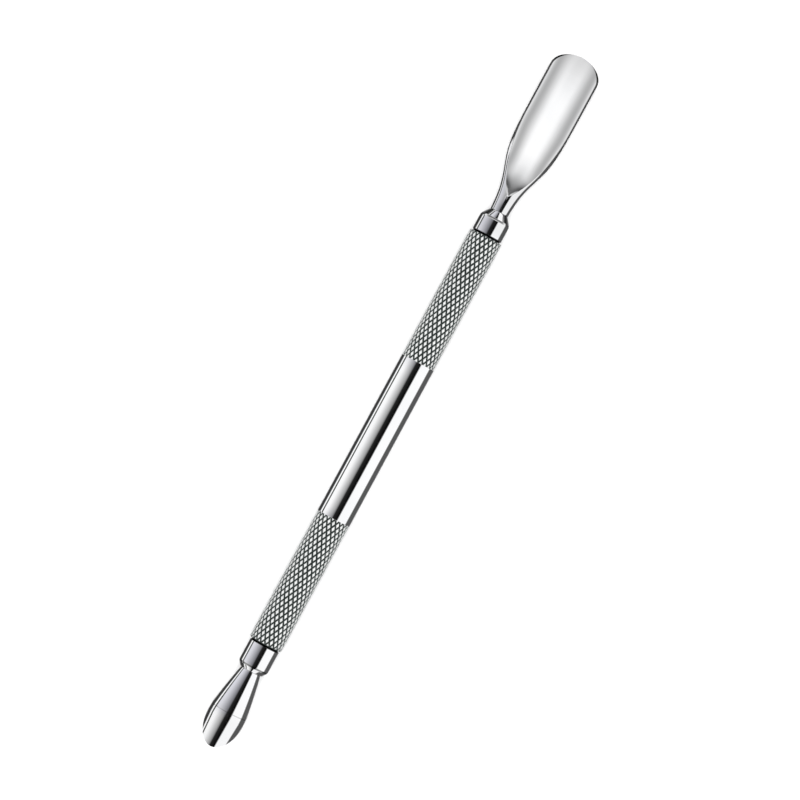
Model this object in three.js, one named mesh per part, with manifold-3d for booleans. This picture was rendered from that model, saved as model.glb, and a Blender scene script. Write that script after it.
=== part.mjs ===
// A double-ended cuticle pusher lying on a table: a long spoon at one end of a knurled steel handle and
// a short scoop at the other. Millimetres, +Z up, +X towards the spoon, whose hollow faces up, while the
// scoop's hollow faces down. The origin is on the table, under the middle of the tool's length.
import * as THREE from "three";
import { mergeVertices } from "three/addons/utils/BufferGeometryUtils.js";
import Module from "manifold-3d";

const wasm = await Module();
wasm.setup();

// Lengths along the tool, from the scoop's tip to the spoon's tip.
const SCOOP_LENGTH = 13.9;
const SCOOP_FERRULE_LENGTH = 5.1;
const GRIP_LENGTH = 23.8;
const WAIST_LENGTH = 29.5;
const SPOON_FERRULE_LENGTH = 4.6;
const SPOON_LENGTH = 29.3;

// The handle: a tube whose ends are turned down to seats under the knurled grips.
const HANDLE_DIAMETER = 6;
const SEAT_DIAMETER = 5;
const BORE_DIAMETER = 3.6;
const GRIP_CHAMFER = 0.15;
const BORE_CHAMFER = 0.3;

// The ferrules: a plain collar, a rounded shoulder, and a spigot in the handle's bore.
const FERRULE_DIAMETER = 5.35;
const COLLAR_CHAMFER = 0.35; // next to the grip
const SPOON_FERRULE_SHOULDER = 1.5;
const SCOOP_FERRULE_SHOULDER = 1.2;
const SPIGOT_LENGTH = 9;
const SPIGOT_CHAMFER = 0.3;
const TANG_DIAMETER = 2;
const TANG_LENGTH = 12;
const TANG_JOIN = 1.5; // how far the tang reaches into the neck, to join it
const FIT_GAP = 0.03;
const END_GAP = 0.02;

// The spoon: a blade with a trough of one radius ground along it.
const NECK_RADIUS = 1.6; // up and down
const NECK_HALF_WIDTH = 1.54;
const NECK_FULLNESS = 0.5; // of the underside's section, as a power: a half is an ellipse, one a parabola
const BLADE_HALF_WIDTH = 4.37;
const FLARE_MIDDLE = 7.3; // from the ferrule to where the neck has half widened into the blade
const FLARE_REACH = 4.12;
const TIP_ROUNDING = 3.25;
const TROUGH_RADIUS = 6;
const TROUGH_START = 3.1; // from the ferrule to the trough's pointed end
const TROUGH_OPENING = 14; // from that point to the trough's full width
const TROUGH_HALF_WIDTH = 4.05;
const TROUGH_FULLNESS = 0.75; // of its outline from above, as the same power
const BLADE_DEPTH = 1.85;
const BLADE_FULLNESS = 0.8;
const TIP_DEPTH = 1.55;
const TIP_RISE = 0.9;

// The scoop: a flared neck and a short cylinder, cut off at a slant and hollowed in the cut.
const FLARE_START_RADIUS = 1.8;
const CREASE_RADIUS = 3.21;
const SCOOP_RADIUS = 3.25;
const FLARE_SWELL = 0.16; // how far the flare's middle stands out of a straight cone
const SCOOP_BODY_LENGTH = 6.3;
const CREASE_RUN = 1.2; // along the tool, over which the cylinder narrows to the crease
const SLANT_RUN = 5.05; // along the tool, over which the cut drops by the scoop's radius
const DISH_DEPTH = 0.9;
const DISH_HALF_LENGTH = 5.1;
const DISH_SHIFT = 0.45; // from where the cut crosses the axis, down the cut towards the tip
const DISH_LIFT = 0.6; // how far out of the cut the dish's ellipsoid is centred, as a share of its height
const RIM_WIDTH = 0.45;

const OVERSHOOT = 1; // how far a cutter, or stock to be trimmed, runs past the finished surface
const FACETS = 24;
const ARC_STEPS = 8;
const LOFT_STEPS = 20;

const STEEL = { color: 0xd9dadc, metalness: 1, roughness: 0.08 };
const KNURLED_STEEL = { color: 0xb9bcba, metalness: 1, roughness: 0.3 };

// Where one piece ends and the next begins, along X.
const scoopTip = -(SCOOP_LENGTH + SCOOP_FERRULE_LENGTH + 2 * GRIP_LENGTH + WAIST_LENGTH
  + SPOON_FERRULE_LENGTH + SPOON_LENGTH) / 2;
const scoopRoot = scoopTip + SCOOP_LENGTH;
const handleStart = scoopRoot + SCOOP_FERRULE_LENGTH;
const waistStart = handleStart + GRIP_LENGTH;
const waistEnd = waistStart + WAIST_LENGTH;
const handleEnd = waistEnd + GRIP_LENGTH;
const spoonRoot = handleEnd + SPOON_FERRULE_LENGTH;
const spoonTip = spoonRoot + SPOON_LENGTH;

// ---- solids ----

// A closed ring profile of [x, radius] points turned about the tool's axis. The facets are tangent to the
// true circles, and one of them faces straight down.
function turned(profile) {
  const spread = 1 / Math.cos(Math.PI / FACETS);
  const points = profile.map(([x, radius]) => new THREE.Vector2(radius * spread, x));
  return new THREE.LatheGeometry(points, FACETS, Math.PI / FACETS).rotateZ(-Math.PI / 2);
}

// A closed solid through convex rings of points, each ring in a plane across the tool.
function lofted(rings) {
  const count = rings[0].length;
  const index = [];
  for (let r = 0; r + 1 < rings.length; r++) {
    for (let i = 0; i < count; i++) {
      const a = r * count + i;
      const b = r * count + (i + 1) % count;
      index.push(a, b, b + count, a, b + count, a + count);
    }
  }
  const last = (rings.length - 1) * count;
  for (let i = 1; i + 1 < count; i++) {
    index.push(0, i + 1, i, last, last + i, last + i + 1);
  }
  return new THREE.BufferGeometry().setFromPoints(rings.flat()).setIndex(index);
}

function solid(geometry) {
  const bare = new THREE.BufferGeometry().setAttribute("position", geometry.getAttribute("position"));
  const merged = mergeVertices(bare.setIndex(geometry.index), 1e-4);
  return new wasm.Manifold(new wasm.Mesh({
    numProp: 3,
    vertProperties: merged.getAttribute("position").array,
    triVerts: new Uint32Array(merged.index.array),
  }));
}

function geometryOf(manifold) {
  const { vertProperties, triVerts } = manifold.getMesh();
  const positions = new THREE.BufferAttribute(vertProperties, 3);
  return new THREE.BufferGeometry().setAttribute("position", positions)
    .setIndex(new THREE.BufferAttribute(triVerts, 1));
}

// Points of a quadratic curve in [x, radius].
function curve(start, control, end, steps) {
  const path = new THREE.QuadraticBezierCurve(
    ...[start, control, end].map((p) => new THREE.Vector2(...p)));
  return path.getPoints(steps).map((p) => [p.x, p.y]);
}

// ---- the handle ----

function handleBarrel() {
  const outer = HANDLE_DIAMETER / 2;
  const seat = SEAT_DIAMETER / 2;
  const bore = BORE_DIAMETER / 2;
  return turned([
    [handleStart + BORE_CHAMFER, bore],
    [handleStart, bore + BORE_CHAMFER],
    [handleStart, seat],
    [waistStart, seat],
    [waistStart, outer],
    [waistEnd, outer],
    [waistEnd, seat],
    [handleEnd, seat],
    [handleEnd, bore + BORE_CHAMFER],
    [handleEnd - BORE_CHAMFER, bore],
    [handleStart + BORE_CHAMFER, bore],
  ]);
}

// A sleeve that slides over a seat, from the waist's shoulder to the handle's end.
function knurledGrip(start, end) {
  const inner = SEAT_DIAMETER / 2 + FIT_GAP;
  const outer = HANDLE_DIAMETER / 2;
  return turned([
    [start, inner],
    [start, outer - GRIP_CHAMFER],
    [start + GRIP_CHAMFER, outer],
    [end - GRIP_CHAMFER, outer],
    [end, outer - GRIP_CHAMFER],
    [end, inner],
    [start, inner],
  ]);
}

// ---- the ferrules ----

// The collar runs out from the handle's end for its length, in the direction of outward, and narrows to
// the neck's radius over its rounded shoulder.
function ferrule(face, length, shoulder, neckRadius, outward) {
  const tang = TANG_DIAMETER / 2 + FIT_GAP;
  const spigot = BORE_DIAMETER / 2 - FIT_GAP;
  const collar = FERRULE_DIAMETER / 2;
  const rounded = curve(
    [length - shoulder, collar], [length - shoulder / 2, collar], [length, neckRadius], ARC_STEPS / 2);
  const profile = [
    [-SPIGOT_LENGTH, tang],
    [-SPIGOT_LENGTH, spigot - SPIGOT_CHAMFER],
    [SPIGOT_CHAMFER - SPIGOT_LENGTH, spigot],
    [END_GAP, spigot],
    [END_GAP, collar - COLLAR_CHAMFER],
    [END_GAP + COLLAR_CHAMFER, collar],
    ...rounded,
    [length, tang],
    [-SPIGOT_LENGTH, tang],
  ].map(([x, radius]) => [face + outward * x, radius]);
  return turned(outward > 0 ? profile : profile.reverse());
}

// The round pin that a working end holds in its ferrule.
function tang(root, outward) {
  const radius = TANG_DIAMETER / 2;
  const near = root + outward * TANG_JOIN;
  const far = root - outward * TANG_LENGTH;
  const ends = outward > 0 ? [far, near] : [near, far];
  return solid(turned([
    [ends[0], 0],
    [ends[0], radius],
    [ends[1], radius],
    [ends[1], 0],
  ]));
}

// ---- the spoon ----

const { smoothstep } = THREE.MathUtils;
const mix = THREE.MathUtils.lerp;

function bladeHalfWidth(x) {
  const flare = 0.5 + 0.5 * Math.tanh((x - spoonRoot - FLARE_MIDDLE) / FLARE_REACH);
  return mix(NECK_HALF_WIDTH, BLADE_HALF_WIDTH, flare);
}

// The height of the blade's edge, which curls up towards the tip.
function edgeHeight(x) {
  const along = Math.max(0, x - spoonRoot - TROUGH_OPENING) / (SPOON_LENGTH - TROUGH_OPENING);
  return TIP_RISE * along ** 2;
}

// How far the crown stands over the edge at a share v of the half width. It keeps the neck's height, so
// it is round at the ferrule and flattens as the blade widens.
function crownHeight(v) {
  return NECK_RADIUS * Math.sqrt(1 - v * v);
}

function bottomDepth(x, v) {
  const blade = smoothstep(x, spoonRoot, spoonRoot + TROUGH_OPENING);
  const tip = smoothstep(x, spoonTip - TROUGH_OPENING, spoonTip);
  const depth = mix(mix(NECK_RADIUS, BLADE_DEPTH, blade), TIP_DEPTH, tip);
  return depth * (1 - v * v) ** mix(NECK_FULLNESS, BLADE_FULLNESS, blade);
}

// Half the width of the trough where it meets the crown.
function troughHalfWidth(x) {
  const opened = THREE.MathUtils.clamp((x - spoonRoot - TROUGH_START) / TROUGH_OPENING, 0, 1);
  return TROUGH_HALF_WIDTH * (opened * (2 - opened)) ** TROUGH_FULLNESS;
}

function troughFloor(x) {
  const half = troughHalfWidth(x);
  const sagitta = TROUGH_RADIUS - Math.sqrt(TROUGH_RADIUS ** 2 - half ** 2);
  return edgeHeight(x) + crownHeight(half / bladeHalfWidth(x)) - sagitta;
}

function spoonRing(x) {
  const half = bladeHalfWidth(x);
  const ring = [];
  for (let i = 0; i < 4 * ARC_STEPS; i++) {
    const angle = i * Math.PI / (2 * ARC_STEPS);
    const v = Math.cos(angle);
    const rise = i <= 2 * ARC_STEPS ? crownHeight(v) : -bottomDepth(x, v);
    ring.push(new THREE.Vector3(x, half * v, edgeHeight(x) + rise));
  }
  return ring;
}

// The grinding wheel's path: the trough's round floor with open air above it.
function troughRing(x) {
  const widest = Math.PI / 3;
  const floor = troughFloor(x);
  const ring = [];
  for (let i = -ARC_STEPS; i <= ARC_STEPS; i++) {
    const angle = i * widest / ARC_STEPS;
    ring.push(new THREE.Vector3(
      x, -TROUGH_RADIUS * Math.sin(angle), floor + TROUGH_RADIUS * (1 - Math.cos(angle))));
  }
  return ring.reverse();
}

// The blade's outline from above: straight sides and an elliptical tip.
function tipOutline() {
  const start = spoonTip - TIP_ROUNDING;
  const clear = BLADE_HALF_WIDTH + OVERSHOOT;
  const outline = new THREE.Shape();
  outline.moveTo(spoonRoot - TANG_LENGTH, clear);
  outline.lineTo(spoonRoot - TANG_LENGTH, -clear);
  outline.lineTo(start, -clear);
  outline.lineTo(start, -BLADE_HALF_WIDTH);
  outline.absellipse(start, 0, TIP_ROUNDING, BLADE_HALF_WIDTH, -Math.PI / 2, Math.PI / 2, false, 0);
  outline.lineTo(start, clear);
  const plate = new THREE.ExtrudeGeometry(outline, {
    depth: 4 * BLADE_HALF_WIDTH,
    bevelEnabled: false,
    curveSegments: 2 * ARC_STEPS,
  });
  return solid(plate.translate(0, 0, -2 * BLADE_HALF_WIDTH));
}

function stations(start, end, count) {
  return Array.from({ length: count + 1 }, (_, i) => mix(start, end, i / count));
}

function spoonPusher() {
  const body = lofted(stations(spoonRoot + END_GAP, spoonTip + OVERSHOOT / 2, LOFT_STEPS).map(spoonRing));
  const wheel = lofted(stations(spoonRoot + TROUGH_START, spoonTip + OVERSHOOT, LOFT_STEPS).map(troughRing));
  const blade = solid(body).subtract(solid(wheel)).intersect(tipOutline());
  return geometryOf(blade.add(tang(spoonRoot, 1)));
}

// ---- the scoop ----

function scoopCleaner() {
  const crease = scoopTip + SCOOP_BODY_LENGTH;
  const root = scoopRoot - END_GAP;
  const swell = [(crease + root) / 2, (CREASE_RADIUS + FLARE_START_RADIUS) / 2 + FLARE_SWELL];
  const body = solid(turned([
    [scoopTip - OVERSHOOT, 0],
    [scoopTip - OVERSHOOT, SCOOP_RADIUS],
    [crease - CREASE_RUN, SCOOP_RADIUS],
    ...curve([crease, CREASE_RADIUS], swell, [root, FLARE_START_RADIUS], ARC_STEPS / 2),
    [root, 0],
  ]));

  // The slanting cut crosses the axis one run in from the tip. Everything under it is cut away.
  const slant = Math.atan2(SCOOP_RADIUS, SLANT_RUN);
  const reach = 4 * SCOOP_RADIUS;
  const under = new THREE.BoxGeometry(2 * reach, reach, reach).translate(0, 0, -reach / 2);
  const shrink = Math.sqrt(1 - DISH_LIFT ** 2);
  const dishHeight = DISH_DEPTH / (1 - DISH_LIFT);
  const dish = new THREE.SphereGeometry(1, FACETS, 2 * ARC_STEPS)
    .scale(DISH_HALF_LENGTH / shrink, (SCOOP_RADIUS - RIM_WIDTH) / shrink, dishHeight)
    .translate(-DISH_SHIFT, 0, -DISH_LIFT * dishHeight);
  const cutters = [under, dish].map((cutter) => solid(
    cutter.rotateY(slant).translate(scoopTip + SLANT_RUN, 0, 0)));
  const cut = cutters.reduce((left, cutter) => left.subtract(cutter), body);
  return geometryOf(cut.add(tang(scoopRoot, -1)));
}

// ---- the assembly ----

const tool = new THREE.Group();
tool.position.z = HANDLE_DIAMETER / 2;

function place(name, geometry, finish) {
  const mesh = new THREE.Mesh(geometry, new THREE.MeshStandardMaterial(finish));
  mesh.name = name;
  tool.add(mesh);
}

place("spoon_pusher", spoonPusher(), STEEL);
place("spoon_end_ferrule",
  ferrule(handleEnd, SPOON_FERRULE_LENGTH, SPOON_FERRULE_SHOULDER, NECK_RADIUS, 1), STEEL);
place("handle_barrel", handleBarrel(), STEEL);
place("spoon_end_knurled_grip", knurledGrip(waistEnd, handleEnd), KNURLED_STEEL);
place("scoop_end_knurled_grip", knurledGrip(handleStart, waistStart), KNURLED_STEEL);
place("scoop_end_ferrule",
  ferrule(handleStart, SCOOP_FERRULE_LENGTH, SCOOP_FERRULE_SHOULDER, FLARE_START_RADIUS, -1), STEEL);
place("scoop_cleaner", scoopCleaner(), STEEL);

const part = new THREE.Group();
part.add(tool);
export default part;
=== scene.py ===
import math
import random

import bmesh
import bpy
from mathutils import Matrix, Vector


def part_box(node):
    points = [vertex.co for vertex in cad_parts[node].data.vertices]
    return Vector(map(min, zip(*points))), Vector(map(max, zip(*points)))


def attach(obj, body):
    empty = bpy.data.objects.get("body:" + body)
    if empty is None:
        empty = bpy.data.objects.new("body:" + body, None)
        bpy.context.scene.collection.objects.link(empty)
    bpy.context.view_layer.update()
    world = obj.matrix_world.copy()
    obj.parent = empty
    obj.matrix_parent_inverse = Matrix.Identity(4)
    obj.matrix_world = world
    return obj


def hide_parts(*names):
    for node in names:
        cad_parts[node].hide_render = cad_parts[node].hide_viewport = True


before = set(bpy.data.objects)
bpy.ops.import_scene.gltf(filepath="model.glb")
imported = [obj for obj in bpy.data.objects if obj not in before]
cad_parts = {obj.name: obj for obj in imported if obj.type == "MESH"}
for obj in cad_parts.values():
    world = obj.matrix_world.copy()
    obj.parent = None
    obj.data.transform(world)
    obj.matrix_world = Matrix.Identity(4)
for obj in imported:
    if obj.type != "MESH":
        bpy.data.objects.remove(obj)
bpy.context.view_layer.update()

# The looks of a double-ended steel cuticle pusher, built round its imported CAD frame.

MM = 0.001


# ---- sizes, in millimetres along and round the tool's axis ----

def reach(node):
    """The lowest and highest x of a CAD node."""
    low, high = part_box(node)
    return low.x / MM, high.x / MM


HANDLE_START, HANDLE_END = reach("handle_barrel")
WAIST_START = reach("scoop_end_knurled_grip")[1]
WAIST_END = reach("spoon_end_knurled_grip")[0]
SPOON_ROOT = reach("spoon_end_ferrule")[1]
SPOON_TIP = reach("spoon_pusher")[1]
SCOOP_ROOT = reach("scoop_end_ferrule")[0]
SCOOP_TIP = reach("scoop_cleaner")[0]

HANDLE_RADIUS = 3.0
SEAT_RADIUS = 2.5
BORE_RADIUS = 1.8
FIT_GAP = 0.03
END_GAP = 0.02

FERRULE_RADIUS = 2.675
SPOON_SHOULDER = [(1.57, 2.675), (1.22, 2.55), (0.15, 1.74), (0, 1.62)]
SCOOP_SHOULDER = [(1.02, 2.675), (0.68, 2.555), (0.05, 2.1), (0, 1.92)]
COLLAR_CHAMFER = 0.35
FERRULE_EDGE_ROUND = 0.04
SPIGOT_LENGTH = 9.0
TANG_RADIUS = 1.0
TANG_LENGTH = 12.0

KNURL_ROUND = 22  # diamonds round the grip
KNURL_PITCH = 1.65  # from one diamond to the next along the tool
KNURL_CREST = 2.98
KNURL_DEPTH = 0.24
KNURL_SLOPE = 0.27  # the share of the pitch from the bottom of a groove up to the crest
KNURL_CHAMFER = 0.2
KNURL_UNEVENNESS = 0.08  # the most that a diamond's top is pressed down, as a share of the depth
EDGE_ROUND = 0.06

NECK_RADIUS = 1.6
NECK_HALF_WIDTH = 1.54
BLADE_HALF_WIDTH = 4.37
FLARE_MIDDLE = 7.3
FLARE_REACH = 4.12
TIP_ROUNDING = 3.25
TROUGH_RADIUS = 6.0
TROUGH_START = 3.1
TROUGH_OPENING = 14.0
TROUGH_HALF_WIDTH = 4.05
BLADE_DEPTH = 1.85
TIP_DEPTH = 1.55
TIP_RISE = 0.9
RIM_SOFTNESS = 0.05  # how far the polishing rounds the trough's rim
RIDGE_HEIGHT = 0.06
RIDGE_HALF_WIDTH = 0.2
RIDGE_SIDE = 0.12  # how far the ridge lies to the left of the middle, seen from the handle
RIDGE_RUN = (2.2, 0.2)  # how far before the trough the ridge starts, and how far before it stands in full
FLOOR_RUN = 13.9  # from the trough's pointed end to where its floor is level

FLARE_START_RADIUS = 1.8
CREASE_RADIUS = 3.21
SCOOP_RADIUS = 3.25
CREASE_RUN = 1.2  # along the tool, over which the cylinder narrows to the crease
CREASE_LINE = 0.02  # how deep the fine turned line at the crease is
SCOOP_BODY_LENGTH = 6.3
SLANT_RUN = 5.05
SWELL = 0.16  # how far the flare bulges past a straight cone
DISH_DEPTH = 0.9
DISH_HALF_LENGTH = 5.1
DISH_SHIFT = 0.45
DISH_LIFT = 0.6
RIM_WIDTH = 0.45

ROUND_SEGMENTS = 192


# ---- mesh helpers ----

def mix(a, b, t):
    return a + (b - a) * t


def smoothstep(x, low, high):
    t = min(1.0, max(0.0, (x - low) / (high - low)))
    return t * t * (3 - 2 * t)


def to_object(name, bm, sharp_degrees=30):
    """The finished mesh as a piece, scaled from millimetres and lifted to the tool's height."""
    bmesh.ops.recalc_face_normals(bm, faces=bm.faces)
    mesh = bpy.data.meshes.new(name)
    bm.to_mesh(mesh)
    bm.free()
    lift = Matrix.Translation((0, 0, HANDLE_RADIUS * MM))
    mesh.transform(lift @ Matrix.Scale(MM, 4))
    mesh.polygons.foreach_set("use_smooth", [True] * len(mesh.polygons))
    mesh.set_sharp_from_angle(angle=math.radians(sharp_degrees))
    piece = bpy.data.objects.new(name, mesh)
    bpy.context.scene.collection.objects.link(piece)
    return piece


def rounded(profile, radius, steps=4):
    """The same open line of (x, radius) points with each inner corner rounded off."""
    points = [Vector(p) for p in profile]
    out = [points[0]]
    for before, corner, after in zip(points, points[1:], points[2:]):
        back, on = before - corner, after - corner
        cut = min(radius, back.length / 2.2, on.length / 2.2)
        start, end = corner + back.normalized() * cut, corner + on.normalized() * cut
        for i in range(steps + 1):
            t = i / steps
            out.append((1 - t) ** 2 * start + 2 * t * (1 - t) * corner + t * t * end)
    out.append(points[-1])
    return [tuple(p) for p in out]


def curve(start, control, end, steps=12):
    """Points of a quadratic curve in (x, radius)."""
    a, b, c = Vector(start), Vector(control), Vector(end)
    spots = [i / steps for i in range(steps + 1)]
    return [tuple((1 - t) ** 2 * a + 2 * t * (1 - t) * b + t * t * c) for t in spots]


def add_turned(bm, profile, closed, segments=ROUND_SEGMENTS):
    """Adds a line of (x, radius) points turned about the axis. An open line starts and ends on the axis."""
    rings = []
    for x, radius in profile:
        if radius < 1e-6:
            rings.append([bm.verts.new((x, 0, 0))])
            continue
        turn = [2 * math.pi * i / segments for i in range(segments)]
        rings.append([bm.verts.new((x, radius * math.sin(a), radius * math.cos(a))) for a in turn])
    pairs = list(zip(rings, rings[1:]))
    if closed:
        pairs.append((rings[-1], rings[0]))
    for one, other in pairs:
        for i in range(segments):
            j = (i + 1) % segments
            corners = [one[i % len(one)], one[j % len(one)], other[j % len(other)], other[i % len(other)]]
            bm.faces.new(list(dict.fromkeys(corners)))


def turned(name, profile, closed=True):
    bm = bmesh.new()
    add_turned(bm, profile, closed)
    return to_object(name, bm)


# ---- the handle ----

def handle_barrel():
    """The tube: a polished waist between two turned-down seats."""
    outline = rounded([
        (HANDLE_START, BORE_RADIUS),
        (HANDLE_START, SEAT_RADIUS),
        (WAIST_START, SEAT_RADIUS),
        (WAIST_START, HANDLE_RADIUS),
        (WAIST_END, HANDLE_RADIUS),
        (WAIST_END, SEAT_RADIUS),
        (HANDLE_END, SEAT_RADIUS),
        (HANDLE_END, BORE_RADIUS),
    ], EDGE_ROUND)
    return turned("waist_and_tube", outline)


def knurl_height(share):
    """How high the knurl stands at a share of the way from one groove to the next, from 0 to 1."""
    near = min(share, 1 - share)
    return min(1.0, near / KNURL_SLOPE)


def knurled_grip(name, start, end, chamfered_end):
    """A sleeve cut by two families of crossing helical grooves, which leave rows of diamonds."""
    bm = bmesh.new()
    rng = random.Random(11)
    lines = [0, KNURL_SLOPE / 2, KNURL_SLOPE, 0.5, 1 - KNURL_SLOPE, 1 - KNURL_SLOPE / 2, 1]
    middle = len(lines) // 2
    # The rows start two pitches before the sleeve and go on past its end, and the spare is cut off below.
    rows = math.ceil(2 * (end - start) / KNURL_PITCH) + 6
    for row in range(rows):
        for column in range(KNURL_ROUND):
            # One family of grooves is at whole values of a, and the other at whole values of b.
            a0 = column + math.ceil(row / 2)
            b0 = column - row // 2
            top = 1 - KNURL_UNEVENNESS * rng.random()
            spots = {}
            for i, p in enumerate(lines):
                for j, q in enumerate(lines):
                    a, b = a0 + p, b0 + q
                    angle = (a + b) * math.pi / KNURL_ROUND
                    x = start - 2 * KNURL_PITCH + (a - b) * KNURL_PITCH / 2
                    height = min(knurl_height(p), knurl_height(q))
                    radius = KNURL_CREST - KNURL_DEPTH * (1 - height * top)
                    spots[i, j] = bm.verts.new((x, radius * math.sin(angle), radius * math.cos(angle)))
            for i in range(len(lines) - 1):
                for j in range(len(lines) - 1):
                    corners = [spots[i, j], spots[i + 1, j], spots[i + 1, j + 1], spots[i, j + 1]]
                    if (i < middle) == (j < middle):
                        bm.faces.new([corners[0], corners[1], corners[2]])
                        bm.faces.new([corners[0], corners[2], corners[3]])
                    else:
                        bm.faces.new([corners[0], corners[1], corners[3]])
                        bm.faces.new([corners[1], corners[2], corners[3]])
    bmesh.ops.remove_doubles(bm, verts=bm.verts, dist=1e-4)

    def cut(x, side, clear):
        bmesh.ops.bisect_plane(
            bm, geom=bm.verts[:] + bm.edges[:] + bm.faces[:], dist=1e-5,
            plane_co=(x, 0, 0), plane_no=(side, 0, 0), clear_outer=clear)

    # The chamfer: a cut one chamfer in from the end, and the crests at the end pressed down.
    side = 1 if chamfered_end == end else -1
    cut(chamfered_end - side * KNURL_CHAMFER, side, False)
    cut(end, 1, True)
    cut(start, -1, True)
    for v in bm.verts:
        if abs(v.co.x - chamfered_end) < 1e-3:
            radius = math.hypot(v.co.y, v.co.z)
            lower = min(radius, KNURL_CREST - KNURL_CHAMFER) / radius
            v.co.y *= lower
            v.co.z *= lower

    # Both ends are closed down to the bore, and the bore joins them.
    inner_edges = []
    for x in (start, end):
        loop = [e for e in bm.edges if e.is_boundary and all(abs(v.co.x - x) < 1e-3 for v in e.verts)]
        grown = bmesh.ops.extrude_edge_only(bm, edges=loop)["geom"]
        for v in (g for g in grown if isinstance(g, bmesh.types.BMVert)):
            shrink = (SEAT_RADIUS + FIT_GAP) / math.hypot(v.co.y, v.co.z)
            v.co.y *= shrink
            v.co.z *= shrink
        inner_edges += [g for g in grown if isinstance(g, bmesh.types.BMEdge)]
    bmesh.ops.bridge_loops(bm, edges=inner_edges)
    return to_object(name, bm, sharp_degrees=20)


# ---- the ferrules ----

def ferrule(name, face, outer_end, shoulder):
    """A collar and its spigot. The shoulder is a line of (distance from the outer end, radius) points."""
    outward = 1 if outer_end > face else -1
    length = abs(outer_end - face)
    straight = rounded([
        (-SPIGOT_LENGTH, TANG_RADIUS + FIT_GAP),
        (-SPIGOT_LENGTH, BORE_RADIUS - FIT_GAP),
        (END_GAP, BORE_RADIUS - FIT_GAP),
        (END_GAP, FERRULE_RADIUS - COLLAR_CHAMFER),
        (END_GAP + COLLAR_CHAMFER, FERRULE_RADIUS),
        *[(length - back, radius) for back, radius in shoulder],
        (length, TANG_RADIUS + FIT_GAP),
    ], FERRULE_EDGE_ROUND)
    profile = [(face + outward * x, radius) for x, radius in straight]
    return turned(name, profile)


# ---- the spoon ----

def blade_half_width(x):
    flare = 0.5 + 0.5 * math.tanh((x - SPOON_ROOT - FLARE_MIDDLE) / FLARE_REACH)
    return mix(NECK_HALF_WIDTH, BLADE_HALF_WIDTH, flare)


def outline_half_width(x):
    """The blade seen from above, with its elliptical tip."""
    into = max(0.0, (x - SPOON_TIP + TIP_ROUNDING) / TIP_ROUNDING)
    return blade_half_width(x) * math.sqrt(max(0.0, 1 - into * into))


def edge_height(x):
    along = max(0.0, x - SPOON_ROOT - TROUGH_OPENING) / (SPOON_TIP - SPOON_ROOT - TROUGH_OPENING)
    return TIP_RISE * along ** 2


def crown(x, y):
    """The uncut top: round at the neck, with a fine ridge that grows towards the trough."""
    share = min(1.0, abs(y) / blade_half_width(x))
    apex = SPOON_ROOT + TROUGH_START
    grown = smoothstep(x, apex - RIDGE_RUN[0], apex - RIDGE_RUN[1])
    ridge = RIDGE_HEIGHT * grown * max(0.0, 1 - abs(y - RIDGE_SIDE) / RIDGE_HALF_WIDTH)
    return edge_height(x) + NECK_RADIUS * math.sqrt(1 - share * share) + ridge


def bottom(x, y):
    """The underside: round at the neck, and flatter in the middle along the blade."""
    share = min(1.0, abs(y) / blade_half_width(x))
    blade = smoothstep(x, SPOON_ROOT, SPOON_ROOT + TROUGH_OPENING)
    tip = smoothstep(x, SPOON_TIP - TROUGH_OPENING, SPOON_TIP)
    depth = mix(mix(NECK_RADIUS, BLADE_DEPTH, blade), TIP_DEPTH, tip)
    return edge_height(x) - depth * (1 - share * share) ** mix(0.5, 0.8, blade)


def trough_half_width(x):
    opened = min(1.0, max(0.0, (x - SPOON_ROOT - TROUGH_START) / TROUGH_OPENING))
    return TROUGH_HALF_WIDTH * (opened * (2 - opened)) ** 0.75


def rim_height(x):
    return edge_height(x) + NECK_RADIUS * math.sqrt(1 - (trough_half_width(x) / blade_half_width(x)) ** 2)


def sagitta(radius, half):
    return radius - math.sqrt(radius ** 2 - half ** 2)


def trough(x, y):
    """The ground hollow: its floor falls evenly from the pointed end, and its sides are round up to the rims."""
    apex = SPOON_ROOT + TROUGH_START
    level = apex + FLOOR_RUN
    half = trough_half_width(max(x, apex + 0.05))
    if x >= level:
        return rim_height(x) - sagitta(TROUGH_RADIUS, half) + sagitta(TROUGH_RADIUS, min(abs(y), TROUGH_RADIUS))
    deepest = rim_height(level) - sagitta(TROUGH_RADIUS, trough_half_width(level))
    floor = mix(deepest, NECK_RADIUS, ((level - x) / FLOOR_RUN) ** 2)
    rise = max(rim_height(x) - floor, 0.02)
    radius = (half ** 2 + rise ** 2) / (2 * rise)
    return floor + sagitta(radius, min(abs(y), radius))


def top(x, y, land):
    """The lower of the land and the trough, with the rim between them rounded off."""
    hollow = trough(x, y)
    near = max(0.0, 1 - abs(land - hollow) / RIM_SOFTNESS)
    return min(land, hollow) - near * near * RIM_SOFTNESS / 4


LAND_STEPS = 36
TROUGH_STEPS = 48
BOTTOM_STEPS = 72


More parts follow.
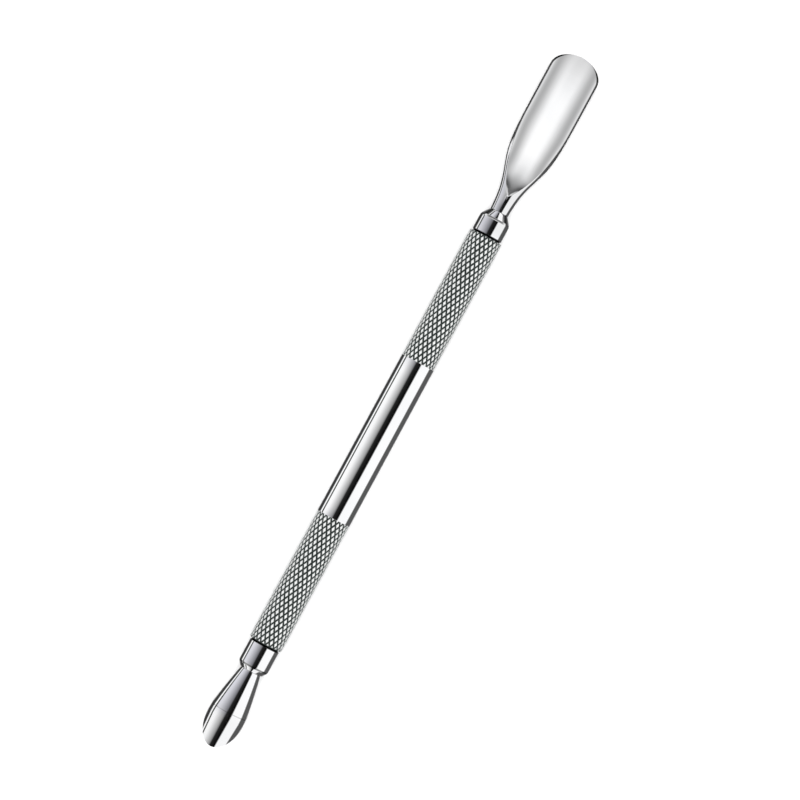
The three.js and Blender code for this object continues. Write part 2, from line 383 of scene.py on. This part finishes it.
def land_side(x, side):
    """The rim from the outer edge to the trough, as (y, z). side is 1 or -1, for +y or -y."""
    outer, full, half = outline_half_width(x), blade_half_width(x), trough_half_width(x)
    flat = smoothstep(x, SPOON_ROOT + 6, SPOON_ROOT + TROUGH_OPENING)
    rim = crown(x, side * half)
    points = []
    for i in range(LAND_STEPS + 1):
        t = i / LAND_STEPS
        if outer > full - 1e-9:
            y = full * math.cos(math.acos(min(1.0, half / full)) * t)
            chord = mix(edge_height(x), rim, (full - y) / max(full - half, 1e-6))
            points.append((side * y, top(x, side * y, mix(crown(x, side * y), chord, flat))))
        else:
            # The trimmed tip: the same bevel, narrowing with the outline.
            shrink = (outer / full) ** 0.6
            corner = 2 * outer / full * math.sqrt(1 - (outer / full) ** 2)
            width = min((full - half) * shrink * (1 + 0.5 * corner), outer)
            inner = trough(x, outer - width)
            drop = min((rim - edge_height(x)) * shrink, inner - bottom(x, outer) - 0.05)
            points.append((side * (outer - width * t), inner - drop * (1 - t)))
    return points


def underside(x):
    outer = outline_half_width(x)
    spots = [math.pi * i / BOTTOM_STEPS for i in range(BOTTOM_STEPS + 1)]
    return [(outer * math.cos(a), bottom(x, outer * math.cos(a))) for a in spots]


def spoon_stations():
    """Close together where the outline or the trough turns, and further apart on the straight blade."""
    apex = SPOON_ROOT + TROUGH_START
    opened = apex + TROUGH_OPENING
    start = SPOON_TIP - TIP_ROUNDING
    neck = [mix(SPOON_ROOT + END_GAP + 0.06, apex, i / 24) for i in range(24)]
    opening = [mix(apex, opened, (i / 64) ** 1.6) for i in range(64)]
    blade = [mix(opened, start, i / 16) for i in range(16)]
    tip = [start + TIP_ROUNDING * math.sin(math.pi / 2 * i / 32) for i in range(33)]
    return neck, opening + blade + tip


def skin(bm, rows, closed=False):
    """Joins neighbouring rows of the same number of vertices with faces."""
    for one, other in zip(rows, rows[1:]):
        count = len(one)
        for i in range(count if closed else count - 1):
            j = (i + 1) % count
            corners = list(dict.fromkeys([one[i], one[j], other[j], other[i]]))
            if len(corners) > 2:
                bm.faces.new(corners)


def spoon_pusher():
    bm = bmesh.new()
    neck, cut = spoon_stations()

    def row(x, points):
        return [bm.verts.new((x, y, z)) for y, z in points]

    lands = {1: [], -1: []}
    troughs, unders = [], []
    for x in neck + cut:
        for side in lands:
            lands[side].append(row(x, land_side(x, side)))
        unders.append(row(x, underside(x)))
    for x in cut:
        left, right = land_side(x, 1)[-1], land_side(x, -1)[-1]
        spots = [left[0] * math.cos(math.pi * i / TROUGH_STEPS) for i in range(TROUGH_STEPS + 1)]
        whole = outline_half_width(x) > blade_half_width(x) - 1e-9
        hollow = [(y, top(x, y, crown(x, y)) if whole else trough(x, y)) for y in spots]
        troughs.append(row(x, [left] + hollow[1:-1] + [right]))
    for rows in (lands[1], lands[-1], troughs, unders):
        skin(bm, rows)
    # The outer wall stands between the rim and the underside where the tip is trimmed.
    for side, spot in ((1, 0), (-1, -1)):
        skin(bm, list(zip(*[(land[0], under[spot]) for land, under in zip(lands[side], unders)])))

    # The neck's root is rounded in, and the tang goes on from it.
    root = SPOON_ROOT + END_GAP
    x0 = neck[0]
    around = land_side(x0, 1)[:-1] + land_side(x0, -1)[::-1] + underside(x0)[-2:0:-1]
    steps = [(x0, 1.0), (root + 0.02, 0.985), (root, 0.95), (root, TANG_RADIUS / NECK_RADIUS),
             (SPOON_ROOT - TANG_LENGTH, TANG_RADIUS / NECK_RADIUS)]
    rings = [row(x, [(y * scale, z * scale) for y, z in around]) for x, scale in steps]
    skin(bm, rings, closed=True)
    bm.faces.new(rings[-1])
    bmesh.ops.remove_doubles(bm, verts=bm.verts, dist=2e-4)
    bmesh.ops.dissolve_degenerate(bm, edges=bm.edges, dist=1e-5)
    return to_object("spoon_with_neck", bm, sharp_degrees=24)


# ---- the scoop ----

def cutter(name, bm):
    piece = to_object(name, bm)
    piece.hide_render = True
    return piece


def scoop_cleaner():
    crease = SCOOP_TIP + SCOOP_BODY_LENGTH
    root = SCOOP_ROOT - END_GAP
    swell = ((crease + root) / 2, (CREASE_RADIUS + FLARE_START_RADIUS) / 2 + SWELL)
    bm = bmesh.new()
    flare = curve((crease, CREASE_RADIUS), swell, (root - 0.06, FLARE_START_RADIUS), 24)
    add_turned(bm, [
        (SCOOP_TIP - 1, 0),
        (SCOOP_TIP - 1, SCOOP_RADIUS),
        (crease - CREASE_RUN, SCOOP_RADIUS),
        (crease - 0.08, CREASE_RADIUS),
        (crease - 0.02, CREASE_RADIUS - CREASE_LINE),
        (crease + 0.05, CREASE_RADIUS - CREASE_LINE / 5),
        *flare[1:],
        (root, FLARE_START_RADIUS - 0.06),
        (root, TANG_RADIUS),
        (SCOOP_ROOT + TANG_LENGTH, TANG_RADIUS),
        (SCOOP_ROOT + TANG_LENGTH, 0),
    ], closed=False, segments=256)
    scoop = to_object("scoop_with_neck", bm)

    slant = math.atan2(SCOOP_RADIUS, SLANT_RUN)
    place = Matrix.Translation((SCOOP_TIP + SLANT_RUN, 0, 0)) @ Matrix.Rotation(slant, 4, "Y")
    size = 8 * SCOOP_RADIUS  # a cube large enough to take away all that lies under the slant
    under = bmesh.new()
    bmesh.ops.create_cube(under, size=size, matrix=place @ Matrix.Translation((0, 0, -size / 2)))
    shrink = math.sqrt(1 - DISH_LIFT ** 2)
    height = DISH_DEPTH / (1 - DISH_LIFT)
    shape = Matrix.Diagonal((DISH_HALF_LENGTH / shrink, (SCOOP_RADIUS - RIM_WIDTH) / shrink, height, 1))
    dish = bmesh.new()
    bmesh.ops.create_uvsphere(
        dish, u_segments=128, v_segments=96, radius=1,
        matrix=place @ Matrix.Translation((-DISH_SHIFT, 0, -DISH_LIFT * height)) @ shape)
    for tool in (cutter("under_cut", under), cutter("dish_cut", dish)):
        cut = scoop.modifiers.new(tool.name, "BOOLEAN")
        cut.operation = "DIFFERENCE"
        cut.solver = "EXACT"
        cut.object = tool
    soften = scoop.modifiers.new("soften", "BEVEL")
    soften.width = 0.05 * MM
    soften.segments = 3
    soften.limit_method = "ANGLE"
    soften.angle_limit = math.radians(12)
    soften.use_clamp_overlap = True

    ready = bpy.context.evaluated_depsgraph_get()
    final = bpy.data.meshes.new_from_object(scoop.evaluated_get(ready))
    for tool in ("under_cut", "dish_cut"):
        bpy.data.objects.remove(bpy.data.objects[tool])
    scoop.modifiers.clear()
    scoop.data = final
    final.polygons.foreach_set("use_smooth", [True] * len(final.polygons))
    final.set_sharp_from_angle(angle=math.radians(24))
    return scoop


# ---- materials ----

def new_material(name):
    material = bpy.data.materials.new(name)
    material.use_nodes = True
    nodes, links = material.node_tree.nodes, material.node_tree.links
    return material, nodes, links, nodes["Principled BSDF"]


def bare_material(name):
    """A material with no nodes in it yet."""
    material = bpy.data.materials.new(name)
    material.use_nodes = True
    nodes, links = material.node_tree.nodes, material.node_tree.links
    nodes.clear()
    return material, nodes, links


def node(nodes, kind, **inputs):
    """A new node with its input sockets set by name."""
    made = nodes.new(kind)
    for key, value in inputs.items():
        made.inputs[key.replace("_", " ")].default_value = value
    return made


def reckon(nodes, links, operation, first, second=None):
    """The output of a new math node, whose inputs are sockets or plain numbers."""
    made = nodes.new("ShaderNodeMath")
    made.operation = operation
    for socket, value in zip(made.inputs, (first, second)):
        if isinstance(value, bpy.types.NodeSocket):
            links.new(value, socket)
        elif value is not None:
            socket.default_value = value
    return made.outputs["Value"]


def blend_colours(nodes, links, factor, first, second):
    """The output of a new colour mix, from first at factor 0 to second at factor 1."""
    made = nodes.new("ShaderNodeMix")
    made.data_type = "RGBA"
    links.new(factor, made.inputs["Factor"])
    for socket, value in zip([i for i in made.inputs if i.type == "RGBA"], (first, second)):
        if isinstance(value, bpy.types.NodeSocket):
            links.new(value, socket)
        else:
            socket.default_value = value
    return [o for o in made.outputs if o.type == "RGBA"][0]


def ramp(nodes, stops):
    made = nodes.new("ShaderNodeValToRGB")
    elements = made.color_ramp.elements
    while len(elements) < len(stops):
        elements.new(0.5)
    for element, (spot, value) in zip(elements, stops):
        element.position = spot
        element.color = (*value, 1) if isinstance(value, tuple) else (value, value, value, 1)
    return made


PAINTED_SHADE_COLOUR = (0.015, 0.016, 0.017, 1)  # painted shade: the near-black of the dark lines painted in corners, on a shoulder and in a crease


def polished_steel(name, grain, painted_shade=()):
    """Mirror-polished steel. grain stretches the fine polishing lines along x, y and z. The last argument lists the
    dark lines of painted shade round the piece, which stand in for shade and dark reflections in corners, on a
    shoulder and in a crease, as (x, half width, share of the shine that is lost)."""
    material, nodes, links, shader = new_material(name)
    shader.inputs["Metallic"].default_value = 1
    place = nodes.new("ShaderNodeTexCoord")
    stretch = node(nodes, "ShaderNodeMapping", Scale=grain)
    links.new(place.outputs["Object"], stretch.inputs["Vector"])

    cloud = node(nodes, "ShaderNodeTexNoise", Scale=180.0, Detail=3.0)
    links.new(place.outputs["Object"], cloud.inputs["Vector"])
    tone = ramp(nodes, [(0.3, (0.84, 0.845, 0.855)), (0.7, (0.88, 0.88, 0.885))])
    links.new(cloud.outputs["Fac"], tone.inputs["Fac"])
    split = nodes.new("ShaderNodeSeparateXYZ")
    links.new(place.outputs["Object"], split.inputs["Vector"])
    colour = tone.outputs["Color"]
    # Painted shade: along each listed line the base colour blends towards near black, standing in for shade and dark
    # reflections.
    for x, half_width, loss in painted_shade:
        apart = reckon(nodes, links, "ABSOLUTE", reckon(nodes, links, "SUBTRACT", split.outputs["X"], x * MM))
        unshaded_share = node(
            nodes, "ShaderNodeMapRange",
            From_Min=0.75 * half_width * MM, From_Max=1.25 * half_width * MM, To_Min=1 - loss)
        links.new(apart, unshaded_share.inputs["Value"])
        colour = blend_colours(nodes, links, unshaded_share.outputs["Result"], PAINTED_SHADE_COLOUR, colour)
    links.new(colour, shader.inputs["Base Color"])

    lines = node(nodes, "ShaderNodeTexNoise", Scale=900.0, Detail=4.0)
    links.new(stretch.outputs["Vector"], lines.inputs["Vector"])
    gloss = ramp(nodes, [(0.35, 0.035), (0.75, 0.09)])
    links.new(lines.outputs["Fac"], gloss.inputs["Fac"])
    links.new(gloss.outputs["Color"], shader.inputs["Roughness"])
    bump = node(nodes, "ShaderNodeBump", Strength=0.06, Distance=0.00001)
    links.new(lines.outputs["Fac"], bump.inputs["Height"])
    links.new(bump.outputs["Normal"], shader.inputs["Normal"])
    return material


def knurled_steel(name):
    """Bright matt crests over grooves darkened with painted shade."""
    material, nodes, links, shader = new_material(name)
    shader.inputs["Metallic"].default_value = 0.4
    place = nodes.new("ShaderNodeTexCoord")
    split = nodes.new("ShaderNodeSeparateXYZ")
    links.new(place.outputs["Object"], split.inputs["Vector"])
    across = nodes.new("ShaderNodeCombineXYZ")
    links.new(split.outputs["Y"], across.inputs["Y"])
    links.new(reckon(nodes, links, "SUBTRACT", split.outputs["Z"], HANDLE_RADIUS * MM), across.inputs["Z"])
    radius = nodes.new("ShaderNodeVectorMath")
    radius.operation = "LENGTH"
    links.new(across.outputs["Vector"], radius.inputs[0])
    # How deep in a groove a point lies, from its radius; this drives the painted groove shade and the roughness.
    depth = node(
        nodes, "ShaderNodeMapRange",
        From_Min=(KNURL_CREST - 0.9 * KNURL_DEPTH) * MM, From_Max=(KNURL_CREST - 0.1 * KNURL_DEPTH) * MM)
    links.new(radius.outputs["Value"], depth.inputs["Value"])

    # A fine noise that makes the edge of the painted groove shade uneven, and that also drives the bump.
    painted_shade = node(nodes, "ShaderNodeTexNoise", Scale=1500.0, Detail=3.0)
    links.new(place.outputs["Object"], painted_shade.inputs["Vector"])
    unevenness = node(nodes, "ShaderNodeMapRange", To_Min=-0.2, To_Max=0.2)
    links.new(painted_shade.outputs["Fac"], unevenness.inputs["Value"])
    height = reckon(nodes, links, "ADD", depth.outputs["Result"], unevenness.outputs["Result"])
    height.node.use_clamp = True

    # Painted shade: the base colour turns near black towards the bottom of the grooves.
    tone = ramp(nodes, [(0.0, (0.02, 0.028, 0.026)), (0.55, (0.06, 0.072, 0.068)), (0.95, (0.68, 0.69, 0.685))])
    links.new(height, tone.inputs["Fac"])
    links.new(tone.outputs["Color"], shader.inputs["Base Color"])
    gloss = ramp(nodes, [(0.0, 0.6), (0.9, 0.32)])
    links.new(height, gloss.inputs["Fac"])
    links.new(gloss.outputs["Color"], shader.inputs["Roughness"])
    bump = node(nodes, "ShaderNodeBump", Strength=0.15, Distance=0.00002)
    links.new(painted_shade.outputs["Fac"], bump.inputs["Height"])
    links.new(bump.outputs["Normal"], shader.inputs["Normal"])
    return material


# ---- the pieces ----

ROUND_GRAIN = (3.0, 0.25, 0.25)
LONG_GRAIN = (0.25, 3.0, 3.0)
# Where the painted shade sits: dark lines painted in the corners beside the grips, on the scoop collar's shoulder
# and in the crease, standing in for shade and dark reflections there.
SCOOP_SHOULDER_EDGE = (SCOOP_SHOULDER[0][0] + SCOOP_SHOULDER[1][0]) / 2
SPOON_COLLAR_PAINTED_SHADE = [(HANDLE_END, 0.36, 1)]
SCOOP_COLLAR_PAINTED_SHADE = [(HANDLE_START, 0.36, 1), (SCOOP_ROOT + SCOOP_SHOULDER_EDGE, 0.15, 0.7)]
CREASE_PAINTED_SHADE = [(SCOOP_TIP + SCOOP_BODY_LENGTH - 0.04, 0.1, 0.25)]

PIECES = [
    (spoon_pusher(), "spoon_pusher", "polished_steel", polished_steel("spoon_polish", LONG_GRAIN)),
    (ferrule("spoon_ferrule", HANDLE_END, SPOON_ROOT, SPOON_SHOULDER),
     "spoon_end_ferrule", "polished_steel", polished_steel("spoon_ferrule_polish", ROUND_GRAIN, SPOON_COLLAR_PAINTED_SHADE)),
    (handle_barrel(), "handle_barrel", "polished_steel", polished_steel("waist_polish", ROUND_GRAIN)),
    (knurled_grip("spoon_end_knurl", WAIST_END, HANDLE_END, HANDLE_END),
     "spoon_end_knurled_grip", "knurled_steel", knurled_steel("spoon_end_knurl_finish")),
    (knurled_grip("scoop_end_knurl", HANDLE_START, WAIST_START, HANDLE_START),
     "scoop_end_knurled_grip", "knurled_steel", knurled_steel("scoop_end_knurl_finish")),
    (ferrule("scoop_ferrule", HANDLE_START, SCOOP_ROOT, SCOOP_SHOULDER),
     "scoop_end_ferrule", "polished_steel", polished_steel("scoop_ferrule_polish", ROUND_GRAIN, SCOOP_COLLAR_PAINTED_SHADE)),
    (scoop_cleaner(), "scoop_cleaner", "polished_steel", polished_steel("scoop_polish", ROUND_GRAIN, CREASE_PAINTED_SHADE)),
]
for piece, cad_node, slot, material in PIECES:
    piece.data.materials.clear()
    piece.data.materials.append(material)
    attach(piece, "root")
    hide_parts(cad_node)


# ---- the studio ----

# The brightness of a light tent by angle from straight up, in degrees, clockwise seen from the spoon's end.
RIGHT_PANELS = [(24, 0.0), (29, 0.95), (32, 1.13), (90, 1.13), (95, 0.2), (98, 0.11), (145, 0.11), (160, 0.4)]
LEFT_EDGE = [(-160, 0.4), (-145, 0.05), (-111, 0.05), (-108, 1.1), (-97, 1.1), (-95, 0.03), (-86, 0.03)]
WHITE_BANDS = LEFT_EDGE + [
    (-84, 1.12), (-68, 1.12), (-60, 1.07), (-46, 0.85), (-32, 0.62), (-19, 0.43), (-13, 0.28), (-6, 0.02),
] + RIGHT_PANELS
GREY_BANDS = LEFT_EDGE + [
    (-84, (0.82, 0.82, 0.87)), (-68, (0.8, 0.8, 0.85)), (-58, (0.71, 0.71, 0.76)), (-42, (0.54, 0.54, 0.58)),
    (-27, (0.37, 0.37, 0.4)), (-13, (0.21, 0.21, 0.23)), (-5, 0.02),
] + RIGHT_PANELS
SPOON_HALF = [(17, 1.16), (23, 1.13), (30, 1.03), (36, 0.9), (43, 0.77), (50, 0.63), (57, 0.53), (64, 0.49),
              (72, 0.58), (80, 0.85), (88, 1.0), (100, 1.0), (104, 0.08), (145, 0.08), (160, 0.4)]
SPOON_BANDS = [(-angle, value) for angle, value in reversed(SPOON_HALF)] + SPOON_HALF


def along_tool(nodes, links, x_socket, stops):
    """A ramp of values by place along the tool, from stops of (x in millimetres, value)."""
    low, high = stops[0][0], stops[-1][0]
    spread = node(nodes, "ShaderNodeMapRange", From_Min=low * MM, From_Max=high * MM)
    links.new(x_socket, spread.inputs["Value"])
    made = ramp(nodes, [((x - low) / (high - low), value) for x, value in stops])
    links.new(spread.outputs["Result"], made.inputs["Fac"])
    return made.outputs["Color"]


def hide_from(piece, kinds):
    """Makes the piece invisible to these kinds of rays."""
    for kind in kinds:
        setattr(piece, "visible_" + kind, False)


def light_tent(name, radius, start, end, bands, greyer_bands, grey, strength, opacity):
    """A tunnel round the tool that only mirrors see: the studio's soft white panels and black flags. grey is how
    far the bands turn to the greyer ones along the tool, and strength and opacity also run along it."""
    bm = bmesh.new()
    add_turned(bm, [(start, 0), (start, radius), (end, radius), (end, 0)], closed=False, segments=128)
    tent = to_object(name, bm)

    material, nodes, links = bare_material(name)
    place = nodes.new("ShaderNodeTexCoord")
    split = nodes.new("ShaderNodeSeparateXYZ")
    links.new(place.outputs["Object"], split.inputs["Vector"])
    height = reckon(nodes, links, "SUBTRACT", split.outputs["Z"], HANDLE_RADIUS * MM)
    flip = reckon(nodes, links, "MULTIPLY", split.outputs["Y"], -1)
    turn = node(nodes, "ShaderNodeMapRange", From_Min=-math.pi, From_Max=math.pi)
    links.new(reckon(nodes, links, "ARCTAN2", flip, height), turn.inputs["Value"])
    colours = []
    for stops in (bands, greyer_bands):
        made = ramp(nodes, [((degrees + 180) / 360, value) for degrees, value in stops])
        links.new(turn.outputs["Result"], made.inputs["Fac"])
        colours.append(made.outputs["Color"])
    share = along_tool(nodes, links, split.outputs["X"], grey)
    glow = nodes.new("ShaderNodeEmission")
    links.new(blend_colours(nodes, links, share, *colours), glow.inputs["Color"])
    links.new(along_tool(nodes, links, split.outputs["X"], strength), glow.inputs["Strength"])
    clear = nodes.new("ShaderNodeBsdfTransparent")
    veil = nodes.new("ShaderNodeMixShader")
    links.new(along_tool(nodes, links, split.outputs["X"], opacity), veil.inputs["Fac"])
    links.new(clear.outputs["BSDF"], veil.inputs[1])
    links.new(glow.outputs["Emission"], veil.inputs[2])
    out = nodes.new("ShaderNodeOutputMaterial")
    links.new(veil.outputs["Shader"], out.inputs["Surface"])
    tent.data.materials.append(material)
    hide_from(tent, ("camera", "diffuse", "transmission", "volume_scatter", "shadow"))
    return tent


FLOOR_FADE = (0.15, 0.6)  # metres from the tool at which the floor starts to fade and is gone


def pale_floor():
    bm = bmesh.new()
    bmesh.ops.create_grid(bm, x_segments=1, y_segments=1, size=1500)
    floor = to_object("floor", bm)
    floor.location.z = -HANDLE_RADIUS * MM
    material, nodes, links, shader = new_material("pale_floor")
    shader.inputs["Base Color"].default_value = (0.86, 0.86, 0.86, 1)
    shader.inputs["Roughness"].default_value = 0.9
    shader.inputs["Specular IOR Level"].default_value = 0.0
    # Far from the tool the floor fades into the backdrop, so that it has no visible edge.
    place = nodes.new("ShaderNodeTexCoord")
    away = nodes.new("ShaderNodeVectorMath")
    away.operation = "LENGTH"
    links.new(place.outputs["Object"], away.inputs[0])
    fade = node(nodes, "ShaderNodeMapRange", From_Min=FLOOR_FADE[0], From_Max=FLOOR_FADE[1])
    links.new(away.outputs["Value"], fade.inputs["Value"])
    clear = nodes.new("ShaderNodeBsdfTransparent")
    blend = nodes.new("ShaderNodeMixShader")
    links.new(fade.outputs["Result"], blend.inputs["Fac"])
    links.new(shader.outputs["BSDF"], blend.inputs[1])
    links.new(clear.outputs["BSDF"], blend.inputs[2])
    links.new(blend.outputs["Shader"], nodes["Material Output"].inputs["Surface"])
    floor.data.materials.append(material)
    floor.visible_glossy = False
    return floor


def white_backdrop():
    """A white dome far beyond the floor, which only the camera sees."""
    bm = bmesh.new()
    bmesh.ops.create_uvsphere(bm, u_segments=64, v_segments=32, radius=5000)
    dome = to_object("backdrop", bm)
    material, nodes, links = bare_material("backdrop")
    glow = nodes.new("ShaderNodeEmission")
    out = nodes.new("ShaderNodeOutputMaterial")
    links.new(glow.outputs["Emission"], out.inputs["Surface"])
    dome.data.materials.append(material)
    hide_from(dome, ("diffuse", "glossy", "transmission", "volume_scatter", "shadow"))
    return dome


def softbox(name, spot, size, watts):
    light = bpy.data.lights.new(name, "AREA")
    light.shape = "DISK"
    light.size = size
    light.energy = watts
    lamp = bpy.data.objects.new(name, light)
    lamp.location = spot
    lamp.rotation_euler = (-Vector(spot)).to_track_quat("-Z", "Y").to_euler()
    lamp.visible_glossy = False
    bpy.context.scene.collection.objects.link(lamp)


handle_tent = light_tent(
    "handle_tent", 45, -140, 50, WHITE_BANDS, GREY_BANDS,
    grey=[(-62.5, 0), (-57, 1), (-33, 1), (-27, 0), (10, 0), (16, 1), (38.5, 1), (41, 0), (50, 0)],
    strength=[(-140, 0.95), (-62.5, 0.95), (-58, 1), (28, 1), (34, 0.88), (50, 0.88)],
    opacity=[(44, 1), (50, 0)])
spoon_tent = light_tent(
    "spoon_tent", 200, -500, 500, SPOON_BANDS, GREY_BANDS,
    grey=[(300, 0), (360, 1)], opacity=[(-500, 1), (500, 1)],
    strength=[
        (-500, 0.65), (41, 0.65), (45, 0.8), (49, 0.93), (53, 1), (125, 1), (148, 0.91), (168, 0.74), (190, 0.42),
        (214, 0.14), (236, 0.12), (250, 0.95), (500, 0.95)])
for stage_piece in (handle_tent, spoon_tent, pale_floor(), white_backdrop()):
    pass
softbox("top_softbox", (0, 0, 1.2), 1.6, 28)

world = bpy.data.worlds.new("studio")
world.use_nodes = True
world.node_tree.nodes["Background"].inputs["Color"].default_value = (1, 1, 1, 1)
world.node_tree.nodes["Background"].inputs["Strength"].default_value = 0.45
bpy.context.scene.world = world
bpy.context.scene.view_settings.view_transform = "Standard"


# ---- the camera: straight above, turned so that the spoon points up and to the right ----

TILT_FROM_VERTICAL = math.radians(28.44)
CAMERA_HEIGHT = 0.6  # above the tool's axis
FRAME_WIDTH = 0.1333  # what the picture takes in at the tool's height
AIM_RIGHT = 0.0005  # how far the picture's centre lies from the tool's
AIM_UP = 0.00018

camera_data = bpy.data.cameras.new("camera")
camera_data.sensor_width = 36
camera_data.lens = 36 * CAMERA_HEIGHT / FRAME_WIDTH
camera = bpy.data.objects.new("camera", camera_data)
picture_up = Vector((math.cos(TILT_FROM_VERTICAL), math.sin(TILT_FROM_VERTICAL), 0))
picture_right = Vector((picture_up.y, -picture_up.x, 0))
axis_height = Vector((0, 0, HANDLE_RADIUS * MM + CAMERA_HEIGHT))
camera.location = axis_height + AIM_RIGHT * picture_right + AIM_UP * picture_up
camera.rotation_euler = (0, 0, TILT_FROM_VERTICAL - math.pi / 2)
bpy.context.scene.collection.objects.link(camera)
bpy.context.scene.camera = camera
